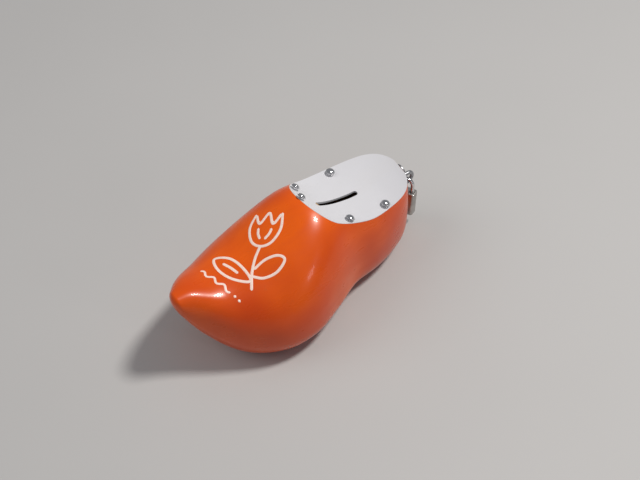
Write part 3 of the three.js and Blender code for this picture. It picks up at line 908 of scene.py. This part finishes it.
def strokeMesh(target, points, width):
    spots = [onClog(*point) for point in points]
    total = len(spots) - 1
    bm = bmesh.new()
    bmesh.ops.create_grid(bm, x_segments=motif["columns"], y_segments=total, size=0.5)
    for vert in bm.verts:
        row = round((vert.co.y + 0.5) * total)
        side = 2 * vert.co.x
        spot, normal = spots[row]
        along = (spots[min(row + 1, total)][0] - spots[max(row - 1, 0)][0]).normalized()
        fromEnd = min(row, total - row) * motif["step"] / (width / 2)
        swell = math.sqrt(max(1 - (1 - min(fromEnd, 1)) ** 2, 0.02))
        aside = spot + along.cross(normal) * side * swell * width / 2 * mm
        foot, out, _, _ = surface.find_nearest(aside)
        rise = motif["thickness"] * math.sqrt(1 - 0.96 * side * side)
        vert.co = foot + out * rise * mm
    bmesh.ops.recalc_face_normals(bm, faces=bm.faces)
    if sum(face.normal.z for face in bm.faces) < 0:
        bmesh.ops.reverse_faces(bm, faces=bm.faces)
    bmesh.ops.solidify(bm, geom=bm.faces[:], thickness=(motif["sink"] + motif["thickness"]) * mm)
    stroke = toMesh("stroke", bm)
    target.from_mesh(stroke)
    bpy.data.meshes.remove(stroke)


def strokesPiece(name, strokes, width):
    bm = bmesh.new()
    for points in strokes:
        strokeMesh(bm, points, width)
    bmesh.ops.recalc_face_normals(bm, faces=bm.faces)
    piece = solidPiece(name, bm, "motifPaint")
    return finished(piece, "clog", (), 60)


for name, points in tulipLines.items():
    strokesPiece(f"tulip_{name}", [catmull(points, points[0] == points[-1])], motif["lineWidth"])


def waveLine():
    start, end = Vector(wave["from"]), Vector(wave["to"])
    along = end - start
    side = Vector((-along.y, along.x)).normalized()
    count = wave["turns"] * 8
    return [
        start + along * i / count + side * wave["height"] * math.sin(2 * math.pi * wave["turns"] * i / count)
        for i in range(count + 1)
    ]


def dotLines():
    start, end = Vector(wave["from"]), Vector(wave["to"])
    along = (end - start).normalized()
    dots = []
    for i in range(wave["dots"]):
        middle = end + along * wave["dotGap"] * (i + 1)
        dots.append([middle - along * 1.2, middle - along * 0.4, middle + along * 0.4, middle + along * 1.2])
    return dots


strokesPiece("wavyLine", [catmull(waveLine())], wave["lineWidth"])
strokesPiece("wavyLineDots", dotLines(), wave["dotWidth"])

print("stage: floor, light and camera")

studio = {
    "floor": (0.46, 0.455, 0.45),
    "world": (0.92, 0.94, 1.0),
    "worldStrength": 0.24,
    "lights": {
        "key": {
            "at": (0.5, 0.95, 2.1), "size": 0.42, "power": 40, "colour": (1, 0.97, 0.93), "shines": True,
        },
        "toe": {
            "at": (-0.9, -1.6, 1.9), "size": 1.8, "power": 16, "colour": (1, 0.98, 0.95), "shines": False,
        },
        "near": {
            "at": (1.9, 0.5, 1.0), "size": 0.35, "power": 1.8, "colour": (1, 0.85, 0.88), "shines": True,
        },
    },
}


def makeFloor():
    bm = bmesh.new()
    bmesh.ops.create_grid(bm, x_segments=2, y_segments=2, size=4)
    floor = bpy.data.objects.new("floor", toMesh("floor", bm))
    bpy.context.collection.objects.link(floor)
    shader = Shader("floorPaint", {"Roughness": 0.6})
    cloud = shader.noise(3, 4)
    lighter = tuple(channel * 1.08 for channel in studio["floor"])
    shader.set("Base Color", shader.blend(cloud, studio["floor"], lighter))
    floor.data.materials.append(shader.material)


def makeLight(name, light):
    lamp = bpy.data.lights.new(name, "AREA")
    lamp.shape = "DISK"
    lamp.size = light["size"]
    lamp.energy = light["power"]
    lamp.color = light["colour"]
    holder = bpy.data.objects.new(name, lamp)
    holder.location = light["at"]
    holder.visible_glossy = light["shines"]
    holder.rotation_mode = "QUATERNION"
    holder.rotation_quaternion = (-Vector(light["at"])).to_track_quat("-Z", "Y")
    bpy.context.collection.objects.link(holder)


makeFloor()
for name, light in studio["lights"].items():
    makeLight(name, light)

world = bpy.data.worlds.new("studio")
world.use_nodes = True
world.node_tree.nodes["Background"].inputs["Color"].default_value = (*studio["world"], 1)
world.node_tree.nodes["Background"].inputs["Strength"].default_value = studio["worldStrength"]
bpy.context.scene.world = world
bpy.context.scene.view_settings.view_transform = "Standard"

camera = {
    "at": (0.43109, -0.33294, 0.6633),
    "right": (0.6274, 0.7787, 0),
    "up": (-0.5751, 0.4634, 0.6742),
    "back": (0.525, -0.423, 0.7386),
    "lens": 50.59,
}
lens = bpy.data.cameras.new("camera")
lens.lens = camera["lens"]
lens.sensor_width = 36
lens.clip_start = 0.02
lens.clip_end = 20
viewer = bpy.data.objects.new("camera", lens)
bpy.context.collection.objects.link(viewer)
turn = Matrix((camera["right"], camera["up"], camera["back"])).transposed()
viewer.matrix_world = Matrix.Translation(camera["at"]) @ turn.to_4x4()
bpy.context.scene.camera = viewer

print("stage: finish")
